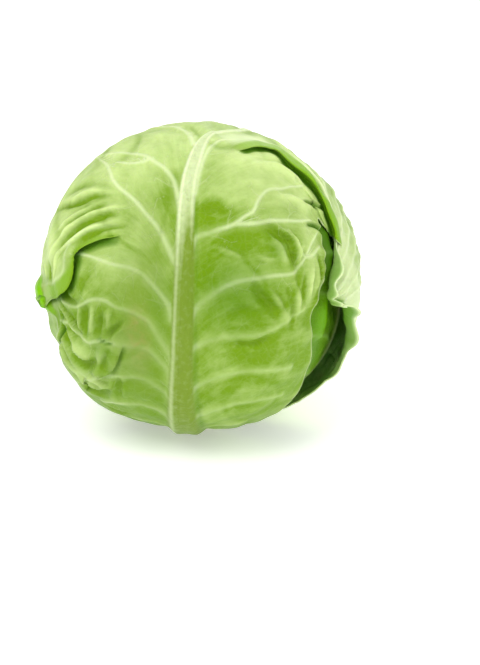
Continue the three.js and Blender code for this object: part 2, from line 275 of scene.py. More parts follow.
left = Blade(
    "left_leaf", -TURN_PER_LEAF, 2, PLAIN_HALF, PLAIN_HALF, [(-40, 0), (90, 6)], rows=240, columns=180,
)
under_right = Blade("under_right_leaf", -2 * TURN_PER_LEAF, 3, PLAIN_HALF, PLAIN_HALF, [(-40, 0), (90, -5)])
under_left = Blade("under_left_leaf", -3 * TURN_PER_LEAF, 4, PLAIN_HALF, PLAIN_HALF, [(-40, 0), (90, 5)])
blades = [front, right, left, under_right, under_left]
for blade in blades:
    print(blade.name, len(blade.row), "points")

# %% [markdown]
# The veins are drawn as lines on the skin. On the front leaf they follow the head being copied, as rise and
# spread along each vein. The other leaves take theirs from their rows. Smaller veins grow out of the large ones
# by a seeded rule: they leave at an angle, bend towards the margin and stop where they run out.

# %% Main veins
VEIN_STEP_MM = 0.5

FRONT_LEFT_VEINS = [
    [(73, -1), (80, -2.5), (86, -5), (92, -9), (98, -14), (106, -20)],
    [(42, -5), (50, -6.5), (55, -8), (60, -11), (64, -14.5), (68, -17.5), (71, -20), (75, -25), (80, -31),
     (88, -37)],
    [(23, -7), (29, -9.5), (35.5, -13), (41.5, -17.5), (46, -20.5), (50.5, -24), (55, -27.5), (60, -30),
     (66, -31.5), (73, -33.5), (81, -36.5), (95, -40)],
    [(66, -16), (65.5, -19), (67, -24), (71, -29)],
    [(3, -8), (8, -9), (11, -11), (15, -14.5), (19, -18.5), (21, -23), (22.5, -29), (25, -35), (27, -40),
     (29, -46)],
    [(-14, -8), (-9, -9.5), (-4, -12.5), (1, -15.5), (3.5, -19.5), (5, -24), (5.5, -28.5), (7.5, -32),
     (8, -35.5), (7, -39.5), (4, -43.5), (1, -49), (1.5, -56), (2.5, -62)],
    [(-22, -9), (-16, -10), (-13, -12.5), (-9.5, -16), (-8, -20.5), (-8.5, -26.5), (-8, -32), (-9, -37),
     (-10.5, -41), (-9, -46), (-7, -53), (-8, -60)],
    [(-30, -9), (-24, -14), (-21, -21), (-22, -30), (-25, -41), (-30, -54)],
    [(-42, -11), (-36, -18), (-35, -30), (-38, -46)],
    [(-54, -13), (-49, -24), (-50, -38)],
]
FRONT_RIGHT_VEINS = [
    [(48, 0), (58, 1.5), (65, 3), (70, 4.5), (75, 7), (78.5, 10), (82, 15), (86, 21), (92, 28), (97, 38)],
    [(24, -2), (31, 0.5), (32.5, 4), (34.5, 9), (36.5, 13.5), (40, 17.5), (42.5, 20.5), (46.5, 22), (50.5, 24),
     (54.5, 27), (57, 31.5), (62, 37), (66, 41)],
    [(37, 15), (37.5, 20.5), (38.5, 23.5), (40, 28), (42, 35), (44, 40), (48, 46)],
    [(2, -2), (8, 1.5), (11.5, 6), (14, 10), (16, 15), (17, 22), (18, 28), (18.5, 34), (19.5, 37), (24, 40.5),
     (29.5, 43.5), (36, 46.5), (42, 49.5)],
    [(27, 42), (28.5, 46), (34.5, 51)],
    [(-14, -4), (-8, -1), (-4.5, 5), (-3.5, 10), (-4, 17), (-4, 24), (-1, 33), (2, 42)],
    [(-29, -5), (-22, 2), (-18, 12), (-18, 24), (-20, 38)],
    [(-43, -6), (-35, 7), (-32, 21), (-33, 38)],
    [(-56, -6), (-50, 10), (-48, 26)],
]


class Vein:
    """A vein as points on the ball, with its half width in millimetres at each of them."""

    def __init__(self, points, start_width, end_width):
        pieces = np.linalg.norm(np.diff(points, axis=0), axis=1)
        length = np.concatenate([[0], np.cumsum(pieces)])
        at = np.linspace(0, length[-1], max(3, int(length[-1] / VEIN_STEP_MM)))
        self.points = np.stack([along(list(zip(length, points[:, k])), at) for k in range(3)], axis=1)
        self.length = length[-1]
        self.tangent = np.gradient(self.points, axis=0)
        self.tangent /= np.linalg.norm(self.tangent, axis=1, keepdims=True)
        self.normal = self.points / np.linalg.norm(self.points, axis=1, keepdims=True)
        t = at / length[-1]
        self.width = start_width + (end_width - start_width) * t ** 0.8


def vein_on_leaf(places, start_width=1.9, end_width=0.9):
    """A main vein through (rise, spread) places."""
    rise, spread = np.array(places, float).T
    return Vein(direction(0, rise, spread) * WIDEST_R, start_width, end_width)


def row_veins(blade):
    """Main veins along a leaf's own rows, on both sides of its midrib."""
    found = []
    share = np.linspace(0.0, 0.9, 9)
    for side, sign in ((blade.left, -1), (blade.right, 1)):
        for row in range(1, blade.last):
            rise = rise_at(side["rows"], np.full(9, float(row)), share)
            level = MM_PER_DEGREE * np.cos(np.radians(np.minimum(rise, 0)))
            edge = 0.5 * along(MIDRIB_HALF_WIDTH, rise) / level
            width = side["widths"][row]
            spread = along(blade.lean_pairs, rise) + sign * (edge + share * (width - edge))
            found.append(vein_on_leaf(list(zip(rise, spread))))
    return found


front.veins = [vein_on_leaf(line) for line in FRONT_LEFT_VEINS + FRONT_RIGHT_VEINS]
for blade in blades[1:]:
    blade.veins = row_veins(blade)
print("main veins:", [len(blade.veins) for blade in blades])

# %% Branch veins
BRANCH_STEP_MM = 1.5
BRANCH_ANGLES, BRANCH_BENDS, BRANCH_WANDER = (42, 66), (0.2, 1.6), 5
LAST_BRANCH_AT, SHORTER_OUTWARDS = 0.96, 0.35


def branches(veins, gap, length, width, seed):
    """Smaller veins that leave the given ones on alternate sides, about one every gap millimetres."""
    rng = np.random.default_rng(seed)
    found = []
    for vein in veins:
        side = rng.choice([-1, 1])
        at = rng.uniform(0.3, 1.0) * gap
        while at < vein.length * LAST_BRANCH_AT:
            k = min(int(at / vein.length * len(vein.points)), len(vein.points) - 1)
            place, normal = vein.points[k].copy(), vein.normal[k]
            turn = math.radians(rng.uniform(*BRANCH_ANGLES)) * side
            heading = vein.tangent[k] * math.cos(turn) + np.cross(normal, vein.tangent[k]) * math.sin(turn)
            reach = rng.uniform(*length) * (1 - SHORTER_OUTWARDS * at / vein.length)
            bend = -side * math.radians(rng.uniform(*BRANCH_BENDS))
            line = [place.copy()]
            for _ in range(max(3, int(reach / BRANCH_STEP_MM))):
                normal = place / np.linalg.norm(place)
                across = np.cross(normal, heading)
                turn = bend + math.radians(rng.normal(0, BRANCH_WANDER))
                heading = heading * math.cos(turn) + across * math.sin(turn)
                heading /= np.linalg.norm(heading)
                place = place + BRANCH_STEP_MM * heading
                place *= WIDEST_R / np.linalg.norm(place)
                line.append(place.copy())
            found.append(Vein(np.array(line), width * vein.width[k] / 1.2, 0.28 * width))
            side = -side
            at += gap * rng.uniform(0.6, 1.3)
    return found


def vein_field(blade, veins):
    """For each point: its signed and plain distance to the nearest vein in half widths of the vein, then the
    plain distance and the half width in millimetres."""
    joined = {part: np.concatenate([getattr(vein, part) for vein in veins])
              for part in ("points", "tangent", "normal", "width")}
    tree = KDTree(len(joined["points"]))
    for i, point in enumerate(joined["points"]):
        tree.insert(point, i)
    tree.balance()
    where = blade.on_ball()
    nearest = [tree.find(point)[1:] for point in where]
    index = np.array([n[0] for n in nearest])
    distance = np.array([n[1] for n in nearest])
    outwards = np.cross(joined["normal"][index], joined["tangent"][index])
    side = np.einsum("ij,ij->i", where - joined["points"][index], outwards)
    size = np.maximum(np.abs(side), distance - VEIN_STEP_MM)
    width = joined["width"][index]
    return np.where(side < 0, -1, 1) * size / width, distance / width, distance, width


for seed, blade in enumerate(blades):
    grown = branches(blade.veins, 15, (12, 26), 0.62, 11 + seed)
    twigs = branches(grown, 6.5, (5, 10), 0.75, 31 + seed) if blade.layer < 3 else []
    blade.main = vein_field(blade, blade.veins)
    blade.fine = vein_field(blade, grown + twigs)
    print(blade.name, len(grown), "branches", len(twigs), "twigs")

# %% [markdown]
# Now the blades get their relief. A midrib is a broad raised rib that thins towards the tip, side veins are low
# ridges, and the skin between them is slightly quilted. The relief is added to the height of each point above
# the body, and soft noise made of a few seeded waves keeps any two places from looking alike.

# %% Relief of a leaf blade
FLAT_MM_PER_DEGREE = 1.72
QUILT_HEIGHT, QUILT_REACH = 0.9, 9.0


def soft_noise(points, size, seed, waves=14):
    """Smooth random relief, mostly between -1 and 1, with bumps about size millimetres wide."""
    rng = np.random.default_rng(seed)
    total = np.zeros(len(points))
    for _ in range(waves):
        way = rng.normal(size=points.shape[1])
        way *= math.pi / size * rng.uniform(0.6, 1.5) / np.linalg.norm(way)
        total += np.sin(points @ way + rng.uniform(0, 2 * math.pi))
    return total / math.sqrt(waves)


def patch(blade, rise, spread, rise_size, spread_size):
    """1 at a place on the leaf, fading softly to 0 away from it."""
    return bell(blade.rise - rise, rise_size) * bell(blade.spread - spread, spread_size)


def span_of(values):
    """The least and greatest of some values, rounded for print."""
    return [round(float(v), 2) for v in (values.min(), values.max())]


def at_least(mask, value, near=slice(None)):
    """Raises a mask to a value, there and nowhere else."""
    mask[near] = np.maximum(mask[near], value)


for seed, blade in enumerate(blades):
    blade.skin = blade.on_ball()
    side = blade.mm_per_degree()[1]
    blade.flat = np.stack([blade.spread * side, blade.rise * FLAT_MM_PER_DEGREE, np.zeros(len(side))], axis=1)
    rib = fading(blade.rib_place, 0.5, 1.3) * (0.86 + 0.14 * smooth(blade.rib_place, 0, 0.6))
    blade.height += along(MIDRIB_HEIGHT, blade.rise) * rib
    distance, width = blade.main[2:]
    off_rib = smooth(blade.rib_place, 0.8, 1.8)
    ridge = bell(distance, 1.2 * width + 0.5) * (0.25 + 0.6 * width)
    quilt = QUILT_HEIGHT * (1 - bell(distance, QUILT_REACH))
    blade.height += off_rib * (ridge + quilt)
    bumps = 0.5 * soft_noise(blade.skin, 26, 50 + seed) + 0.36 * soft_noise(blade.skin, 9, 60 + seed)
    bumps += 0.14 * soft_noise(blade.skin, 4.5, 65 + seed, 24)
    crinkle = bell(soft_noise(blade.skin, 19, 40 + seed, 9), 0.2)
    crinkle *= smooth(soft_noise(blade.skin, 45, 45 + seed), -0.6, 0.8)
    blade.relief = off_rib * (bumps - 0.5 * crinkle)
    blade.height += blade.relief
    # Crinkles get painted shade in their creases.
    blade.valley = 0.3 * off_rib * crinkle
    # Masks: the lip, painted shade, painted highlight on ridges, painted light (white), dry brown, and a fresh green
    # that is partly painted light on the lips.
    blade.lip, blade.deep, blade.bright, blade.white, blade.brown, blade.fresh = np.zeros((6, len(side)))
    print(blade.name, "relief, in mm:", span_of(blade.height))

# %% [markdown]
# The skin of an outer leaf is full of small wrinkles where it dried or was pressed by its neighbours. Each one
# is drawn as a line on the skin, in rise and spread, and pressed in as a soft valley with a low ridge on both
# sides.

# %% Wrinkles
def beside(blade, line, reach):
    """The points within reach of a line: their numbers, signed and plain distances, and places on it."""
    middle = line.points.mean(axis=0)
    size = np.linalg.norm(line.points - middle, axis=1).max() + reach
    near = np.flatnonzero(np.linalg.norm(blade.skin - middle, axis=1) < size)
    steps = line.points[::2]
    gaps = blade.skin[near][:, None, :] - steps[None, :, :]
    index = np.einsum("ijk,ijk->ij", gaps, gaps).argmin(axis=1) * 2
    offset = blade.skin[near] - line.points[index]
    sideways = np.einsum("ij,ij->i", offset, np.cross(line.normal[index], line.tangent[index]))
    return near, sideways, np.linalg.norm(offset, axis=1), index


def wrinkle(blade, places, width, depth, shade=0.5):
    """Presses a groove into the skin along a line, with painted shade. A negative depth raises a ridge, painted
    paler.
    """
    line = vein_on_leaf(places)
    near, sideways, distance, index = beside(blade, line, 4 * width)
    taper = np.sin(math.pi * np.clip(index / len(line.points), 0.02, 0.98)) ** 0.7
    t = distance / width * np.where(sideways > 0, 1.45, 0.8)
    drop = 1.5 * taper * depth * (bell(t) - 0.4 * bell(t - 2))
    blade.height[near] -= drop
    blade.relief[near] -= drop
    mask = blade.bright if depth < 0 else (blade.deep if 0.8 < shade < 1 else blade.valley)
    at_least(mask, taper * shade * bell(0.8 * t), near)


# Each wrinkle: its places, width and depth in millimetres, and how strongly it is shaded. Valleys with a shade
# between 0.8 and 1 get the painted shade green of folds, the other valleys a lighter painted shade that takes
# their pale tone away, and ridges a painted highlight.
LEFT_WRINKLES = [
    ([(54, -31), (58, -38), (59.5, -44), (61, -49.5), (67, -55), (75, -60)], 1.5, -1.1, 0.9),
    ([(53, -33), (55, -36.5), (55.5, -43), (58, -49), (63, -54), (68, -59)], 2.2, 1.3, 0.75),
    ([(51, -33), (50.2, -38), (49.5, -43.5), (48.6, -51), (47, -58)], 1.2, -0.8, 0.7),
    ([(48.5, -36), (47, -41), (46.5, -46), (45, -53)], 1.6, 1.0, 0.7),
    ([(46, -25.5), (46, -31.5), (46.4, -37.5), (45, -43), (43.5, -50), (38, -57), (31, -62)], 1.4, -1.1, 0.9),
    ([(42.5, -26), (43.3, -31.5), (42.5, -36), (41, -41.5), (38, -51), (33, -57)], 2.0, 1.3, 0.75),
    ([(40, -27), (39.5, -32), (38.5, -37), (37, -42.5), (34.5, -48), (31.5, -54), (27, -56.5), (19.5, -58),
      (9, -60)], 1.2, -1.0, 0.9),
    ([(37, -25), (37, -31), (35.9, -37), (34.6, -43)], 1.2, 0.9, 0.8),
    ([(62, -36), (66, -44), (70, -52)], 2.4, 0.8, 0.35),
    ([(28, -63), (20, -62.5), (12, -63)], 1.8, 1.3, 0.7),
    ([(30, -68), (22, -67), (14, -68)], 1.6, -0.8, 0.6),
    ([(1, -25.5), (-1.5, -27), (-5, -30.5), (-8, -31.5)], 1.6, 1.9, 0.8),
    ([(5, -41.5), (1, -42), (-4, -42), (-8, -42)], 2.0, 2.0, 1.0),
    ([(5, -34.5), (0, -34.6), (-7, -36)], 1.7, 1.8, 1.0),
    ([(-7.5, -37), (-8.3, -34), (-8.6, -30)], 0.9, 1.2, 0.9),
    ([(5, -38.3), (0, -38.4), (-7, -38.8)], 1.4, -1.4, 0.9),
    ([(6, -30.8), (1, -31), (-3, -31)], 1.5, -1.1, 0.6),
    ([(3, -45), (-2, -45), (-7, -45)], 1.4, -1.0, 0.6),
    ([(-17, -52), (-19, -47), (-19, -42), (-16, -37)], 2.6, 2.2, 0.8),
    ([(-10, -33), (-15, -36), (-21, -39)], 2.4, -1.8, 0.5),
    ([(-27, -54), (-31, -48), (-32, -42), (-29, -36)], 2.2, 2.0, 0.8),
    ([(-24, -47), (-27, -42), (-28, -35)], 1.8, -1.2, 0.4),
    ([(-22, -30), (-27, -31), (-33, -33)], 2.2, 1.4, 0.5),
    ([(-3, -52), (-6, -48), (-9, -45)], 1.8, 1.5, 0.7),
    ([(-1, -60), (-5, -59), (-10, -58), (-15, -60), (-20, -63)], 1.3, 1.7, 0.95),
    ([(2, -62), (-3, -57), (-6, -51), (-10, -44)], 1.6, -1.3, 0.7),
    ([(-9, -58), (-12, -55), (-15, -52)], 2.6, 2.2, 0.75),
    ([(-12, -62), (-18, -60), (-23, -56), (-25, -50)], 2.2, -1.5, 0.5),
    ([(8, -57), (5, -52), (3, -47)], 2.4, 1.8, 0.75),
    ([(19, -38), (15, -42), (9, -45)], 2.6, 0.7, 0.25),
    ([(-40, -50), (-44, -42), (-45, -32)], 2.6, 1.4, 0.5),
    ([(-50, -48), (-54, -36)], 2.6, 1.2, 0.5),
]
RIGHT_WRINKLES = [
    ([(38.5, 24), (36.5, 28), (35, 30.5), (33, 35), (28.5, 36.7), (24, 37.8), (20, 39)], 2.7, 1.9, 0.8),
    ([(34, 26), (31, 29.5), (27, 32), (23, 34)], 2.0, -0.9, 0.5),
    ([(37, 34), (33, 38.5), (28, 40.5)], 1.6, -0.9, 0.5),
    ([(86, 28), (83, 36), (80, 43), (75, 50), (69, 56), (63, 60)], 1.3, 1.0, 0.6),
    ([(88, 38), (84, 46), (79, 52), (72, 59)], 1.5, -0.9, 0.4),
    ([(31, 38), (27, 38), (22, 38)], 1.6, 0.9, 0.4),
    ([(33, 42), (27, 39.5), (21, 37.5)], 1.4, -0.7, 0.4),
    ([(16, 20), (12, 23), (8, 26), (3, 30)], 3.0, 1.9, 0.6),
    ([(12, 27), (6, 31), (0, 34)], 2.2, -0.9, 0.3),
    ([(14, 33), (7, 36), (0, 37), (-5, 36)], 1.6, 0.9, 0.35),
    ([(16, 37), (9, 39), (1, 40)], 1.5, -0.9, 0.5),
    ([(20, 43), (12, 42), (4, 42)], 1.5, 0.9, 0.35),
    ([(23, 47), (14, 46), (6, 45)], 1.6, -0.9, 0.5),
    ([(42, 12), (43, 7), (42, 2)], 4.0, 0.9, 0.3),
    ([(29, 6), (26, 13), (24.5, 18)], 1.3, -0.5, 0.35),
    ([(26, 21), (24.5, 26), (25, 31)], 1.3, -0.5, 0.3),
    ([(57, 42), (59.5, 46), (60.5, 50), (62, 53)], 1.2, 1.5, 0.85),
    ([(44.5, 43.5), (46.5, 48), (47, 52), (45, 55)], 1.3, 1.7, 0.85),
    ([(30, 51), (22, 52), (14, 52), (6, 50)], 1.4, 1.4, 0.6),
    ([(52, 30), (55, 36), (56, 43)], 3.0, -1.1, 0.3),
    ([(66, 22), (70, 30), (70, 38), (66, 45)], 3.0, -1.2, 0.3),
    ([(-6, 12), (-7, 20), (-5, 27)], 1.8, 1.2, 0.4),
    ([(4, 10), (6, 18), (3, 24)], 3.0, 0.8, 0.2),
]
for line in LEFT_WRINKLES + RIGHT_WRINKLES:
    wrinkle(front, *line)
print(len(LEFT_WRINKLES) + len(RIGHT_WRINKLES), "wrinkles on the front leaf")

# %% [markdown]
# The front leaf laps over itself on both sides. A lap is a fold shaped like a flat letter Z: the skin above the
# line slides down over the skin below it and bulges into a rounded lip. One smooth formula does all of it, so
# the fold grows out of flat skin at its tip and opens towards the margin.

# %% Laps
LAP_SPAN_MM = 55
PEAK = 2.33  # one over the highest value of t * exp(-t * t)
GROOVE_MM = 1.2


def lap(blade, places, strength, lip_height, reach, width, away, sink=0.0, green=1.0, lip_width=1.0,
        shadow=1.0, shade=1.0, white=0.0, band=30.0, sunny=0.0):
    """Laps the blade over itself along a line from the fold's tip to the margin.

    The lip's height, the reach of the fold, its width, where the bulge ends (away), how far the skin behind it
    sinks and the band of painted light behind the lip are in millimetres. The other amounts run from 0 to 1: shade
    and shadow give the painted shade in the slit under the lip, white the painted light on the band, and sunny a
    painted highlight of fresh green on the lip.
    """
    line = vein_on_leaf(places)
    near, sideways, distance, index = beside(blade, line, LAP_SPAN_MM)
    leftward = places[-1][1] < 0
    sign = -1 if leftward else 1
    rise, spread = blade.rise[near], blade.spread[near]
    here = direction(0, rise, spread)
    across = sign * np.cross(line.normal[index], line.tangent[index])
    share = index / (len(line.points) - 1)
    beyond = np.sqrt(np.clip(distance ** 2 - sideways ** 2, 0, None))
    amount = along(strength, share) * fading(beyond, 3, 12)
    q = sign * sideways
    t = q / width
    push = -PEAK * reach * amount * t * bell(t)
    moved = np.zeros((2, len(blade.row)))
    for k, way in enumerate((direction(0, rise + 0.5, spread) - here, direction(0, rise, spread + 0.5) - here)):
        way /= np.linalg.norm(way, axis=1, keepdims=True)
        moved[k, near] = push * np.einsum("ij,ij->i", across, way)
    blade.slide(*moved)
    bulge = smooth(t, -0.55, 0.85) * fading(q, width * 1.5, away)
    groove = GROOVE_MM * bell(t + 1.0, 0.7)
    blade.height[near] += amount * (lip_height * bulge - groove)
    blade.height[near] -= amount * sink * smooth(q, 0.6 * away, away) * fading(q, 36, 50)

    wall = 0.8 * (1 - shadow)
    greened = green * amount * smooth(t, -0.6 - wall, 0.1 - wall)
    if leftward:
        greened *= 1 - 0.85 * smooth(share, 0.62, 0.8)
        lip_width = lip_width * (1 + 0.9 * smooth(share, 0.3, 0.45))
    greened *= fading(t, 1.5 * lip_width, 2.4 * lip_width)
    at_least(blade.lip, greened, near)
    # A share of the lip, sunny, gets a fresh green as a painted highlight.
    at_least(blade.fresh, sunny * greened, near)
    # Painted light on the band of skin beyond the lip.
    at_least(blade.white, white * amount * smooth(t, 1.8, 2.8) * fading(q, 0.6 * band, band), near)
    # Painted shade in the slit under the lip, where the fold's shadow falls.
    slit_shade = smooth(t, -1.5 - 1.4 * shadow, -1.4) * fading(t, -0.1 - wall, 0.5 - wall)
    at_least(blade.deep, shade * np.clip(1.8 * amount, 0, 1) * slit_shade, near)


LEFT_LAP = [
    (33.2, -26), (33.5, -29.5), (33.6, -33.5), (33.1, -37), (32.4, -41), (31.2, -44), (28, -45.7),
    (22.5, -46.4), (17, -48), (12.6, -50.8), (9, -55), (5, -60), (1, -66), (-3, -73), (-6, -80), (-8, -88),
]
RIGHT_LAP = [
    (71.5, 15), (73, 17), (75.5, 20), (78, 23.5), (79.3, 27), (79, 30), (77.2, 33), (75.5, 36.5), (75.3, 39.5),
    (74.8, 42), (73, 45.5), (70.5, 49), (67, 51.5), (63, 53.5), (60, 55.3), (57, 57), (54, 58.3), (49, 59.8),
    (43, 60.6), (36, 61.5), (30, 64),
]
lap(front, LEFT_LAP, [(0, 0), (0.03, 0.4), (0.2, 0.9), (0.35, 1), (0.62, 1), (0.8, 0.65), (0.9, 0.2), (1, 0)],
    lip_height=2.9, reach=4.4, width=2.5, away=16, lip_width=0.6, white=0.4, band=10, sunny=0.2, shade=0.75)
lap(front, RIGHT_LAP, [(0, 0), (0.04, 0.5), (0.2, 0.8), (0.4, 1), (0.85, 1), (1, 0.8)],
    lip_height=3.2, reach=4.4, width=2.8, away=16, sink=2.4, shadow=0.25, shade=0.8, white=0.9, band=34, sunny=0.3)
LITTLE_LAPS = [
    [(-8, -25.5), (-11.5, -27.3), (-15.5, -29.2), (-19, -31.6), (-23, -34.5)],
    [(-21, -33), (-22.5, -36), (-23, -40), (-21.5, -44)],
    [(-26, -48), (-30, -49.5), (-34, -52)],
]
for line in LITTLE_LAPS:
    lap(front, line, [(0, 0), (0.3, 1), (0.7, 1), (1, 0)],
        lip_height=1.3, reach=1.8, width=1.8, away=9, green=0.1, shadow=0.35, shade=0.35)
front.height += 2.6 * smooth(-front.spread, 18, 52) * smooth(front.rise, 10, 30)
front.height += 3.0 * patch(front, -32, -62, 16, 18) + 1.6 * patch(front, 5, -75, 20, 12)
print("laps on the front leaf, up to", round(float(front.height.max()), 1), "mm")

# %% [markdown]
# Margins come next. Most of them lie close on the leaf below. Where the margin of the right leaf faces the
# viewer it is rolled back on itself and ruffled, and on the left the front leaf's margin flares out a little.

# %% Margins
def hug(blade, drop, over=22.0):
    """Lets the margin settle onto the leaf below."""
    blade.height -= drop * bell(blade.to_margin, over) * smooth(blade.row, 1, 3)


def ruffle(blade, where, height, cycles, shift, over=9.0):
    """Waves along the margin, in millimetres of height."""
    wave = np.sin(2 * math.pi * (cycles * blade.row / blade.last + shift))
    blade.height += where * height * (wave + 0.35) * np.exp(-blade.to_margin / over)


def roll(blade, where, length, radius):
    """Rolls the margin outwards and back over itself."""
    wound = np.clip(length - blade.to_margin, 0, None)
    turn = wound / radius
    sign = np.where(blade.leftward, -1, 1)
    blade.slide(0, sign * where * (radius * np.sin(turn) - wound))
    blade.height += where * radius * (1 - np.cos(turn))
    at_least(blade.lip, where * smooth(length + 2 - blade.to_margin, 0, 4))


def rows_between(blade, leftward, low, high, soft=0.8):
    """1 on one side of a leaf between two rows, fading softly beyond them."""
    inside = smooth(blade.row, low - soft, low + soft) * fading(blade.row, high - soft, high + soft)
    return inside * (blade.leftward == leftward)


gap_line = -28 + 0.45 * np.clip(under_right.rise, 0, 60)
seen_between = bell(under_right.spread - gap_line, 5) * smooth(under_right.rise, -22, -6)
under_right.height += 5.0 * seen_between * fading(under_right.rise, 32, 46)
for blade in (left, under_right, under_left):
    hug(blade, 2.2)
    ruffle(blade, 1, 0.6, 7, 0.2 * blade.layer)

hug(front, 2.6)
flare = rows_between(front, True, 6.62, 7.6, 0.42)
front.height += flare * 5.0 * np.exp(-front.to_margin / 3.5)
at_least(front.fresh, flare * fading(front.to_margin, 3.0, 5.0))
# Painted light on the flare's face behind its margin.
at_least(front.white, 0.3 * flare * smooth(front.to_margin, 4.0, 6.0) * fading(front.to_margin, 12, 18))
waved = rows_between(front, False, 4, 10.5) * (0.5 + 0.5 * soft_noise(front.skin, 15, 72))
ruffle(front, waved, 0.8, 9, 0.1, over=5)

left.height += 3.6 * patch(left, -16, 52, 20, 9)
facing = rows_between(right, True, 2.4, 8.3, 0.9)
hug(right, 2.6)
right.height -= 2.5 * smooth(right.row, 8.0, 9.6)
right.height -= 4.2 * smooth(right.rise, 14, 38) * smooth(-right.spread, 12, 42)
right.height += facing * 1.5 * np.exp(-right.to_margin / 12)
ruffle(right, facing * (0.75 + 0.5 * soft_noise(right.skin, 14, 74)), 3.0, 10.0, 0.35, over=7)
ruffle(right, (1 - facing) * fading(right.row, 8, 9), 0.9, 8, 0.6)
roll(right, facing * (0.9 + 0.1 * soft_noise(right.skin, 20, 71)), 11.5, 4.8)
# Painted light: a whitish highlight along the roll's edge and a pale band on the roll's face.
at_least(right.white, 0.8 * facing * fading(right.to_margin, 0.6, 2.0))
at_least(right.white, 0.5 * facing * smooth(right.to_margin, 12, 15) * fading(right.to_margin, 40, 60))
print("right leaf's margin stands", round(float(right.height.max()), 1), "mm proud")

# %% [markdown]
# A leaf is not one green. It is paler towards the crown and beside the midrib, and dusty with wax low down. Painted
# shade darkens some places between the veins, the front leaf's low left side, the right edge of its midrib and the
# leaves that lie under others, and raised skin and wrinkle ridges are painted paler as painted light. These tones
# are numbers for each point. The patches of the front leaf are listed with their place and size, in degrees of rise
# and spread, and their amount.

# %% Tone of the skin, with painted shade and light
PALER = [
    (-14, -50, 5, 12, 0.45), (-27, -48, 5, 10, 0.35), (-30, -62, 9, 12, 0.2), (22, 20, 7, 10, 0.3),
    (33, 25, 5, 6, -0.3), (49, 12, 7, 10, 0.3), (44, 9, 4, 8, 0.15), (40, 47, 16, 8, 0.25),
    (20, 47, 24, 7, 0.3), (43, -28, 6, 8, 0.2), (50, -50, 16, 12, 0.2), (55, 34, 15, 20, 0.4),
]
# Patches of painted shade on the front leaf.
PAINTED_SHADE_PATCHES = [
    (12, 14, 14, 15, 0.42), (30, 30, 6, 5, 0.25), (8, -12, 12, 5, 0.2), (24, -25, 5, 6, 0.12), (-12, -35, 5, 6, 0.3),
]
DUSTY = [(-4, -20, 24, 14, 0.85), (32, -16, 18, 10, 0.45), (55, 34, 20, 20, 0.25)]
BROWNED = [(-4, -20, 10, 3.5, 0.8), (2, -70, 5, 5, 0.9)]


def patches(places):
    """The listed patches of the front leaf, a row for each."""
    return np.array([amount * patch(front, *place) for *place, amount in places])


for seed, blade in enumerate(blades):
    blade.pale = 0.2 + 0.4 * smooth(blade.rise, 30, 85) + 0.12 * soft_noise(blade.skin, 40, 80 + seed)
    blade.pale += 0.25 * bell(blade.rib_place, 3.5) * fading(blade.rise, 20, 60)
    blade.pale += 0.25 * fading(blade.rise, -72, -40)
    blade.bloom = 0.25 * smooth(soft_noise(blade.skin, 34, 90 + seed), -0.2, 1.6)
    blade.rib_pale = 0.05 + 0.66 * smooth(blade.rise, 10, 50)

rise, spread = front.rise, front.spread
front.pale = 0.06 + 0.55 * smooth(rise, 42, 74) + 0.06 * soft_noise(front.skin, 30, 80)
front.pale += 0.36 * smooth(-spread, 6, 20) * smooth(rise, 8, 34) * fading(rise, 42, 74)
front.pale += 0.18 * smooth(-spread, 46, 62) * smooth(rise, 4, 26) * fading(rise, 60, 76)
front.pale += 0.45 * smooth(spread, 28, 48) * smooth(rise, 70, 82) + patches(PALER).sum(axis=0)
# The front leaf's low left side is painted darker and less pale: painted shade.
shaded_low_left = smooth(-spread, 7, 14) * fading(rise, -2, 14)
front.pale -= 0.08 * shaded_low_left
at_least(front.deep, 0.1 * shaded_low_left * (1 - patch(front, -14, -47, 6, 12)))
at_least(front.deep, patches(PAINTED_SHADE_PATCHES).max(axis=0))
# A thin line of painted shade along the right edge of the midrib.
shaded_beside_rib = bell(front.rib_place - 1.2, 0.22) * ~front.leftward
at_least(front.deep, 0.3 * shaded_beside_rib * fading(rise, 34, 50))
front.valley *= 1 - 0.35 * patch(front, 45, -45, 20, 18)
front.bloom, front.brown = patches(DUSTY).sum(axis=0), patches(BROWNED).sum(axis=0)

right.pale += 0.45 * rows_between(right, True, 1.5, 9.5) * smooth(-right.spread, 25, 55)
# The leaves under others are painted darker, as painted shade from the leaves over them: more where one shows
# between leaves, and with less pale tone.
under_right.deep[:] = 0.3 + 0.5 * seen_between * smooth(under_right.rise, -2, 14)
under_right.fresh[:] = 0.7 * seen_between * fading(under_right.rise, -4, 10)
under_left.deep[:] = 0.25
for blade in (under_right, under_left):
    blade.pale *= 0.4
for blade in blades:
    # Ridges and raised skin are painted paler and creases darker: painted light and shade from the relief.
    blade.pale += 0.6 * blade.bright - 0.8 * blade.valley + 0.15 * np.clip(blade.relief, -1.5, 2)
print("front leaf paleness:", span_of(front.pale))

# %% [markdown]
# With the shape settled, the points go to their places, and each leaf carries what its skin needs to know as
# attributes: where the veins, the midrib and the margin run, and how pale, shaded or bloomed each place is. The
# blade then gets its thickness inwards with a Solidify modifier.

# %% Place the points and write the attributes
BLADE_THICKNESS = 0.9
VEIN_LIMIT = 4.0
GRAIN_ROW, GRAIN_ACROSS = 12, 0.16


def attribute(piece, name, *columns):
    """Stores up to three numbers for each point of a piece."""
    kept = np.zeros((len(piece.data.vertices), 3), dtype=np.float32)
    for k, column in enumerate(columns):
        kept[:, k] = column
    piece.data.attributes.new(name, "FLOAT_VECTOR", "POINT").data.foreach_set("vector", kept.ravel())


def unit(*masks):
    """Masks held between 0 and 1."""
    return np.clip(masks, 0, 1)


def limited(values):
    """Distances in half widths, held to a few of them."""
    return np.clip(values, -VEIN_LIMIT, VEIN_LIMIT)


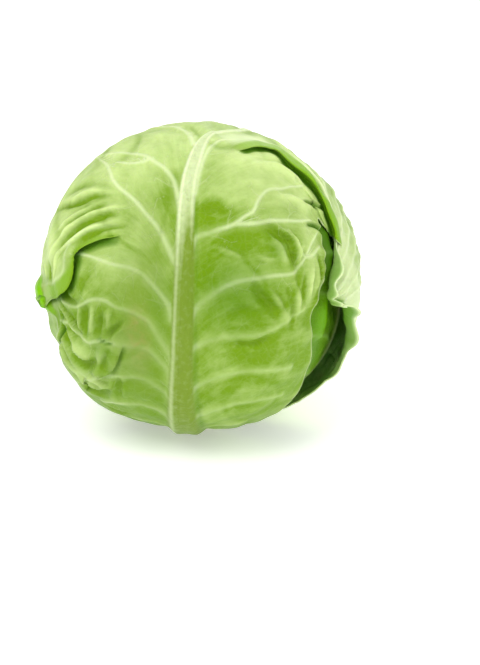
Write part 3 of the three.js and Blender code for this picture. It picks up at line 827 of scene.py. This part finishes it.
def vein_strength(blade):
    """How clearly the veins show. They fade at the margin, low down and beside some of the midrib."""
    shown = smooth(blade.to_margin, 0, 10) * (0.6 + 0.4 * smooth(blade.rise, 10, 45))
    if blade is front:
        shown *= 1 - 0.7 * smooth(spread, 0, 8) * fading(rise, 2, 14)
        shown *= 1 - 0.6 * smooth(spread, 0, 2) * fading(spread, 3, 13) * fading(rise, 42, 55)
        shown *= 1 - 0.6 * smooth(-spread, 6, 10) * fading(-spread, 26, 36) * fading(rise, -4, 12)
    return 0.3 * shown if blade in (under_right, under_left) else shown


for blade in blades:
    piece = blade.piece
    piece.data.vertices.foreach_set("co", (blade.points() * MM).astype(np.float32).ravel())
    piece.data.update()
    piece.data.polygons.foreach_set("use_smooth", [True] * len(piece.data.polygons))
    shown = vein_strength(blade)
    sign = np.where(blade.leftward, -1, 1)
    from_margin = np.clip(blade.to_margin / 10, 0, VEIN_LIMIT)
    attribute(piece, "main_vein", *limited(blade.main[:2]), shown)
    attribute(piece, "fine_vein", *limited(blade.fine[:2]), shown)
    # The tone attribute carries the pale tone, the bloom and the painted shade; the rib attribute the midrib's tones
    # and the painted shade of creases; the tint attribute the painted light, the dry brown and the fresh green.
    attribute(piece, "leaf_tone_and_painted_shade", *unit(blade.pale, blade.bloom, blade.deep))
    attribute(piece, "leaf_edge", from_margin, *unit(blade.lip), limited(sign * blade.rib_place))
    attribute(piece, "leaf_rib_and_crease_shade", *unit(blade.rib_pale, fading(blade.rise, 20, 55), blade.valley))
    attribute(piece, "leaf_flat", *(blade.flat * MM).T)
    attribute(piece, "leaf_tint_and_painted_light", *unit(blade.white, blade.brown, blade.fresh))
    attribute(piece, "leaf_grain", blade.row * GRAIN_ROW * MM, blade.to_margin * GRAIN_ACROSS * MM)
    solid = piece.modifiers.new("blade thickness", "SOLIDIFY")
    solid.thickness = BLADE_THICKNESS * MM
    solid.offset = -1
    print(piece.name, len(piece.data.polygons), "faces")

# %% [markdown]
# The skin itself is one shader group that all leaves share. It mixes a full green and a pale green by the tone,
# lays whitish veins, a fine net and the midrib over them, adds a grey waxy bloom, painted shade as a deeper green
# in the folds, creases and gaps, painted light as a whitish band beyond the lips and a fresh green, partly painted
# light, along the margin. It also gives the height for the bumps and the roughness.

# %% Shader helpers
def tone(red, green, blue):
    """A colour as it looks on screen, 0 to 255, turned into the linear colour that shaders use."""
    linear = [(c / 255 / 12.92) if c <= 10 else ((c / 255 + 0.055) / 1.055) ** 2.4 for c in (red, green, blue)]
    return (*linear, 1)


def node(tree, kind, inputs=None, **settings):
    """A shader node with its settings and inputs. An input is a number, a colour or another node's output."""
    made = tree.nodes.new(kind)
    for name, value in settings.items():
        setattr(made, name, value)
    for name, value in (inputs or {}).items():
        socket = made.inputs[name]
        if isinstance(value, bpy.types.NodeSocket):
            tree.links.new(value, socket)
        else:
            socket.default_value = value
    return made


def maths(tree, operation, *values, clamp=False):
    return node(tree, "ShaderNodeMath", dict(enumerate(values)), operation=operation, use_clamp=clamp).outputs[0]


def times(tree, first, second):
    return maths(tree, "MULTIPLY", first, second)


def ramp(tree, value, low, high, to_low=0.0, to_high=1.0):
    """Turns low..high softly into to_low..to_high."""
    limits = {"Value": value, "From Min": low, "From Max": high, "To Min": to_low, "To Max": to_high}
    return node(tree, "ShaderNodeMapRange", limits, interpolation_type="SMOOTHSTEP").outputs["Result"]


def mix(tree, amount, first, second):
    """Two colours mixed. The node's colour sockets are found by number, because they share their names."""
    sockets = {0: amount, 6: first, 7: second}
    return node(tree, "ShaderNodeMix", sockets, data_type="RGBA", clamp_factor=True).outputs[2]


def noise(tree, place, scale, detail, roughness=0.5, output="Fac"):
    given = {"Vector": place, "Scale": scale, "Detail": detail, "Roughness": roughness}
    return node(tree, "ShaderNodeTexNoise", given).outputs[output]


def varied(tree, base, pattern, amount, clamp=False):
    """A base number with a pattern of about one half added to or taken from it."""
    return maths(tree, "MULTIPLY_ADD", maths(tree, "SUBTRACT", pattern, 0.5), amount, base, clamp=clamp)


def attribute_of(tree, name):
    return node(tree, "ShaderNodeAttribute", attribute_name=name).outputs["Vector"]


def stored(tree, name):
    """The three numbers of an attribute."""
    return node(tree, "ShaderNodeSeparateXYZ", {"Vector": attribute_of(tree, name)}).outputs


# %% The shared leaf skin
GREENS = (
    "Full Green", "Pale Green", "Painted Shade Green", "Margin Green", "Vein", "Rib Green", "Bloom", "Brown", "Fresh and Lit Green",
)


def vein_mask(tree, name, inner, outer):
    """1 on a vein and 0 beside it, from its signed and plain distances in half widths."""
    signed, plain, shown = stored(tree, name)
    line = ramp(tree, maths(tree, "ABSOLUTE", signed), inner, outer, 1, 0)
    return times(tree, times(tree, line, ramp(tree, plain, 2.4, 3.6, 1, 0)), shown)


def net_mask(tree, flat):
    """The finest veins: the walls of small uneven cells."""
    bent = noise(tree, flat, 160, 2, output="Color")
    bent = node(tree, "ShaderNodeVectorMath", {0: bent, 1: (0.5, 0.5, 0.5)}, operation="SUBTRACT").outputs[0]
    bent = node(tree, "ShaderNodeVectorMath", {0: bent, "Scale": 0.0035}, operation="SCALE").outputs[0]
    bent = node(tree, "ShaderNodeVectorMath", {0: flat, 1: bent}, operation="ADD").outputs[0]
    cells = node(tree, "ShaderNodeTexVoronoi", {"Vector": bent, "Scale": 230}, feature="DISTANCE_TO_EDGE")
    return ramp(tree, cells.outputs["Distance"], 0.0, 0.13, 1, 0)


def rib_colour(tree, rib, rib_pale, rib_low, flat, given):
    """The midrib: paler upwards, a light line near each edge, painted highlight on the left, painted shade low on
    the right.
    """
    from_line = maths(tree, "ABSOLUTE", maths(tree, "SUBTRACT", maths(tree, "ABSOLUTE", rib), 0.72))
    edge_line = times(tree, ramp(tree, from_line, 0.0, 0.3, 1, 0), ramp(tree, rib, -1.0, 1.0, 0.36, 0.2))
    shaded_flank = times(tree, ramp(tree, rib, -0.35, 0.35), times(tree, rib_low, 0.6))
    light = maths(tree, "SUBTRACT", maths(tree, "ADD", rib_pale, edge_line), shaded_flank, clamp=True)
    light = varied(tree, light, noise(tree, flat, 300, 2), 0.35, clamp=True)
    return mix(tree, light, given["Rib Green"], given["Vein"])


def painted(tree, colour, given, layers):
    """Lays colours over one another. Each layer is its mask, its strength and the name of its colour."""
    for mask, share, name in layers:
        colour = mix(tree, times(tree, mask, share), colour, given[name])
    return colour


def make_leaf_skin():
    group = bpy.data.node_groups.new("leaf_skin", "ShaderNodeTree")
    for name in GREENS:
        group.interface.new_socket(name, in_out="INPUT", socket_type="NodeSocketColor")
    for name, kind in (("Color", "Color"), ("Height", "Float"), ("Roughness", "Float")):
        group.interface.new_socket(name, in_out="OUTPUT", socket_type="NodeSocket" + kind)
    given = group.nodes.new("NodeGroupInput").outputs
    place = node(group, "ShaderNodeTexCoord").outputs["Object"]
    flat = attribute_of(group, "leaf_flat")
    pale, bloom, deep = stored(group, "leaf_tone_and_painted_shade")
    margin, lip, rib = stored(group, "leaf_edge")
    rib_pale, rib_low, valley = stored(group, "leaf_rib_and_crease_shade")
    white, brown, fresh = stored(group, "leaf_tint_and_painted_light")

    clouds = noise(group, place, 32, 3)
    mottle = noise(group, place, 210, 5, 0.6)
    fibres = noise(group, attribute_of(group, "leaf_grain"), 420, 4, 0.6)
    lightness = varied(group, varied(group, pale, clouds, 0.5), mottle, 0.38)
    lightness = varied(group, lightness, fibres, 0.5, clamp=True)
    # Painted shade takes the pale tone away first.
    lightness = times(group, lightness, maths(group, "SUBTRACT", 1.0, deep))
    colour = mix(group, lightness, given["Full Green"], given["Pale Green"])

    net = net_mask(group, flat)
    main = vein_mask(group, "main_vein", 0.1, 1.6)
    fine = vein_mask(group, "fine_vein", 0.2, 1.7)
    halo = ramp(group, stored(group, "main_vein")[1], 0.6, 4.0, 1, 0)
    colour = painted(group, colour, given, [
        (net, 0.03, "Vein"), (fine, 0.16, "Vein"), (halo, 0.2, "Pale Green"), (main, 0.58, "Vein"),
    ])
    on_rib = ramp(group, maths(group, "ABSOLUTE", rib), 0.85, 1.2, 1, 0)
    colour = mix(group, on_rib, colour, rib_colour(group, rib, rib_pale, rib_low, flat, given))

    dusty = times(group, bloom, ramp(group, clouds, 0.25, 0.7, 0.35, 1))
    spotted = times(group, brown, ramp(group, mottle, 0.35, 0.65, 0.1, 0.5))
    rim = ramp(group, margin, 0.0, 0.14, 1, 0)
    # Painted light: white lightens bands beyond the lips and on the roll, and fresh green lights the lips. Painted
    # shade: creases lose their pale tone, and folds and gaps turn to the painted shade green.
    colour = painted(group, colour, given, [
        (dusty, 1, "Bloom"), (spotted, 1, "Brown"), (valley, 0.75, "Full Green"), (lip, 0.88, "Margin Green"),
        (white, 0.9, "Vein"), (fresh, 1, "Fresh and Lit Green"), (rim, 0.4, "Vein"), (deep, 1, "Painted Shade Green"),
    ])

    height = times(group, fine, 0.5)
    pores = noise(group, flat, 900, 3)
    for pattern, share in ((main, 1.0), (net, 0.1), (mottle, 0.6), (fibres, 0.5), (pores, 0.08)):
        height = maths(group, "MULTIPLY_ADD", pattern, share, height)
    rough = maths(group, "MULTIPLY_ADD", dusty, 0.22, ramp(group, mottle, 0.3, 0.75, 0.36, 0.5))
    made = node(group, "NodeGroupOutput", {"Color": colour, "Height": height, "Roughness": rough})
    made.is_active_output = True
    return group


leaf_skin = make_leaf_skin()
print("leaf skin:", len(leaf_skin.nodes), "nodes")

# %% [markdown]
# Each leaf has its own material, because the outer leaves are a little greener and the ones below them are a
# shaded copy, darker as painted shade. The skin is waxy: a soft broad gloss, tinted green like the leaf, with a
# little light going through it.

# %% Leaf materials
VEIN_WHITE, RIB_GREEN = (224, 238, 186), (114, 140, 36)
BLOOM_GREY, DRY_BROWN, FRESH_AND_LIT_GREEN = (127, 151, 74), (168, 138, 84), (124, 190, 0)
LEAF_SHEEN = {
    "Subsurface Weight": 0.15, "Subsurface Radius": (0.6, 1.0, 0.2), "Subsurface Scale": 0.0025,
    "Specular IOR Level": 0.24, "Specular Tint": (0.8, 1.0, 0.4, 1),
}


def new_material(name):
    material = bpy.data.materials.new(name)
    material.use_nodes = True
    material.node_tree.nodes.clear()
    return material, material.node_tree


def finish_material(tree, colour, rough, height, strength, depth_mm, constants=None):
    """Joins a colour, a roughness and bumps of a height to the shader and the output."""
    bumps = node(tree, "ShaderNodeBump", {"Height": height, "Strength": strength, "Distance": depth_mm * MM})
    given = {"Base Color": colour, "Roughness": rough, "Normal": bumps.outputs["Normal"], **(constants or {})}
    shader = node(tree, "ShaderNodeBsdfPrincipled", given)
    node(tree, "ShaderNodeOutputMaterial", {"Surface": shader.outputs["BSDF"]})


def leaf_material(name, full, pale, deep, margin=(116, 153, 0)):
    material, tree = new_material(name)
    skin = node(tree, "ShaderNodeGroup", node_tree=leaf_skin)
    greens = (full, pale, deep, margin, VEIN_WHITE, RIB_GREEN, BLOOM_GREY, DRY_BROWN, FRESH_AND_LIT_GREEN)
    for socket, green in zip(GREENS, greens):
        skin.inputs[socket].default_value = tone(*green)
    colour, rough, height = (skin.outputs[name] for name in ("Color", "Roughness", "Height"))
    finish_material(tree, colour, rough, height, 0.5, 0.9, LEAF_SHEEN)
    return material


# The third green of each material is its painted shade green, and the under leaves' skin is a darker, shaded copy.
front_skin = leaf_material("front leaf skin", (109, 146, 6), (208, 229, 150), (54, 108, 0))
outer_skin = leaf_material("outer leaf skin", (110, 149, 12), (209, 229, 160), (42, 86, 0), margin=(86, 142, 0))
shaded_under_skin = leaf_material("shaded under leaf skin", (92, 140, 2), (150, 190, 50), (52, 100, 0))
for blade, skin in zip(blades, (front_skin, outer_skin, outer_skin, shaded_under_skin, shaded_under_skin)):
    blade.piece.data.materials.append(skin)

NODES = {
    front: "leaf_front", right: "leaf_right", left: "leaf_left",
    under_right: "leaf_under_right", under_left: "leaf_under_left",
}
for blade in blades:
    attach(blade.piece, "root")
    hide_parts(NODES[blade])
print("leaf materials:", [blade.piece.data.materials[0].name for blade in blades])

# %% [markdown]
# The stem is what the head was cut from: a short cone with a flat face. On the cut the pith is pale, with a
# ring of darker fibres near the rind and a dry, slightly brown edge.

# %% Stem
STEM_CONE = math.radians(11)
STEM_TOP_Z, STEM_CHAMFER, STEM_SIDES, STEM_LEVELS = 22.0, 1.2, 64, 4
STEM_UNEVENNESS = 0.012
ON_FLOOR = 1e-6


def stem_radius(z):
    return (CENTRE_Z - z) * math.tan(STEM_CONE)


def make_stem():
    bm = bmesh.new()
    bmesh.ops.create_circle(bm, cap_ends=True, radius=stem_radius(0) * MM, segments=STEM_SIDES)
    face = bm.faces[:][0]
    levels = [STEM_TOP_Z * k / STEM_LEVELS for k in range(1, STEM_LEVELS + 1)]
    for low, high in zip([0] + levels, levels):
        grown = bmesh.ops.extrude_face_region(bm, geom=[face])
        points = [p for p in grown["geom"] if isinstance(p, bmesh.types.BMVert)]
        new_face = [f for f in grown["geom"] if isinstance(f, bmesh.types.BMFace)][0]
        bmesh.ops.translate(bm, verts=points, vec=(0, 0, (high - low) * MM))
        scale = stem_radius(high) / stem_radius(low)
        bmesh.ops.scale(bm, verts=points, vec=(scale, scale, 1))
        if low > 0:
            bm.faces.remove(face)
        face = new_face
    bmesh.ops.recalc_face_normals(bm, faces=bm.faces)
    rim = [e for e in bm.edges if all(v.co.z < ON_FLOOR for v in e.verts)]
    chamfer = dict(offset=STEM_CHAMFER * MM, segments=4, profile=0.5, affect="EDGES", material=-1)
    bmesh.ops.bevel(bm, geom=rim, **chamfer)
    rng = np.random.default_rng(5)
    for vert in bm.verts:
        if vert.co.z > STEM_CHAMFER * MM:
            vert.co.xy *= 1 - STEM_UNEVENNESS * rng.random()
    return piece_from(bm, "cut_stem")


def stem_material():
    """Pale pith, a ring of fibres from 12 to 17 mm out, and a dry rind from 18 mm out."""
    material, tree = new_material("cut stem")
    place = node(tree, "ShaderNodeTexCoord").outputs["Object"]
    parts = node(tree, "ShaderNodeSeparateXYZ", {"Vector": place}).outputs
    level = node(tree, "ShaderNodeCombineXYZ", {"X": parts[0], "Y": parts[1]}).outputs[0]
    radius = node(tree, "ShaderNodeVectorMath", {0: level}, operation="LENGTH").outputs["Value"]
    wander = noise(tree, place, 260, 4)
    radius = maths(tree, "MULTIPLY_ADD", wander, 0.0035, radius)
    ring = times(tree, ramp(tree, radius, 0.0118, 0.0142), ramp(tree, radius, 0.0150, 0.0172, 1, 0))
    rind = ramp(tree, radius, 0.0182, 0.0205)
    fibres = node(tree, "ShaderNodeTexVoronoi", {"Vector": level, "Scale": 700}).outputs["Distance"]
    colour = mix(tree, ramp(tree, wander, 0.3, 0.7), tone(238, 238, 208), tone(222, 226, 178))
    colour = mix(tree, times(tree, ring, ramp(tree, fibres, 0.2, 0.6)), colour, tone(176, 186, 112))
    colour = mix(tree, times(tree, rind, 0.8), colour, tone(188, 166, 104))
    finish_material(tree, colour, ramp(tree, wander, 0.3, 0.7, 0.55, 0.8), fibres, 0.35, 0.4)
    return material


stem = make_stem()
stem.data.materials.append(stem_material())
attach(stem, "root")
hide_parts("stem")
print("stem:", len(stem.data.vertices), "points")

# %% [markdown]
# The heart is the mass of inner leaves. It is seen only as a hint between the leaves, so its imported solid stays
# and gets a pale leaf colour with darker bands of painted shade, like the shade where one inner leaf ends on the
# next.

# %% Heart
def heart_material():
    material, tree = new_material("heart leaves")
    place = node(tree, "ShaderNodeTexCoord").outputs["Object"]
    wave = {"Vector": place, "Scale": 9, "Distortion": 5, "Detail": 3, "Detail Scale": 2}
    # Darker bands of painted shade.
    shaded_bands = node(tree, "ShaderNodeTexWave", wave).outputs["Fac"]
    spots = noise(tree, place, 60, 4)
    colour = mix(tree, shaded_bands, tone(172, 200, 104), tone(212, 226, 158))
    colour = mix(tree, ramp(tree, spots, 0.35, 0.7, 0, 0.5), colour, tone(226, 236, 184))
    finish_material(tree, colour, ramp(tree, spots, 0.3, 0.7, 0.4, 0.55), spots, 0.4, 1.0)
    return material


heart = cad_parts["heart"]
heart.data.materials.clear()
heart.data.materials.append(heart_material())
print("heart keeps", len(heart.data.polygons), "faces")

# %% [markdown]
# The stage is a plain white floor under soft white light from all round, with one large lamp from the upper
# left, a weaker one from the right, and one from behind that lights the rim. The camera looks down by 20
# degrees from far away, so the head's outline is nearly that of a ball.

# %% Stage, light and camera
PIXEL_MM = 0.609
FRAME_W, FRAME_H = 480, 665
HEAD_AT = (198, 275)
CAMERA_RISE = math.radians(20)
CAMERA_DISTANCE = 1200.0
SENSOR_MM = 36.0
CLIP_END_M, FLOOR_HALF_M, LAMP_SIZE_M = 20, 3.0, 0.9
ROOM_LIGHT, ROOM_SEEN_EXTRA = 0.75, 0.35


def make_floor():
    bm = bmesh.new()
    bmesh.ops.create_grid(bm, x_segments=4, y_segments=4, size=FLOOR_HALF_M)
    floor = piece_from(bm, "floor")
    material = bpy.data.materials.new("white floor")
    material.use_nodes = True
    shader = material.node_tree.nodes["Principled BSDF"]
    look = {"Base Color": (0.94, 0.94, 0.94, 1), "Roughness": 0.9, "Emission Color": (1, 1, 1, 1),
            "Emission Strength": 0.3}
    for name, value in look.items():
        shader.inputs[name].default_value = value
    floor.data.materials.append(material)
    return floor


def lamp(name, place, watts):
    """A square soft lamp that faces the head."""
    data = bpy.data.lights.new(name, "AREA")
    data.size = LAMP_SIZE_M
    data.energy = watts
    made = bpy.data.objects.new(name, data)
    made.location = place
    made.rotation_euler = (Vector((0, 0, CENTRE_Z * MM)) - Vector(place)).to_track_quat("-Z", "Y").to_euler()
    bpy.context.scene.collection.objects.link(made)


make_floor()
lamp("key lamp", (-0.6, -0.7, 1.25), 11)
lamp("fill lamp", (1.0, -0.6, 0.6), 4)
lamp("back lamp", (0.5, 1.0, 0.9), 4)
world = bpy.data.worlds.new("white room")
world.use_nodes = True
background = world.node_tree.nodes["Background"]
background.inputs["Color"].default_value = (1, 1, 1, 1)
seen = node(world.node_tree, "ShaderNodeLightPath").outputs["Is Camera Ray"]
strength = maths(world.node_tree, "MULTIPLY_ADD", seen, ROOM_SEEN_EXTRA, ROOM_LIGHT)
world.node_tree.links.new(strength, background.inputs["Strength"])
bpy.context.scene.world = world
bpy.context.scene.view_settings.view_transform = "Standard"

to_camera = Vector((0, -math.cos(CAMERA_RISE), math.sin(CAMERA_RISE)))
camera_up = Vector((0, math.sin(CAMERA_RISE), math.cos(CAMERA_RISE)))
aside = Vector(((FRAME_W / 2 - HEAD_AT[0]) * PIXEL_MM, 0, 0))
target = Vector((0, 0, CENTRE_Z)) + aside - camera_up * (FRAME_H / 2 - HEAD_AT[1]) * PIXEL_MM
lens = bpy.data.cameras.new("camera")
lens.sensor_width = SENSOR_MM
lens.lens = SENSOR_MM * CAMERA_DISTANCE / (FRAME_H * PIXEL_MM)
lens.clip_end = CLIP_END_M
camera = bpy.data.objects.new("camera", lens)
camera.location = (target + to_camera * CAMERA_DISTANCE) * MM
camera.rotation_euler = (-to_camera).to_track_quat("-Z", "Y").to_euler()
bpy.context.scene.collection.objects.link(camera)
bpy.context.scene.camera = camera
print("camera", [round(c, 3) for c in camera.location], "lens", round(lens.lens, 1))
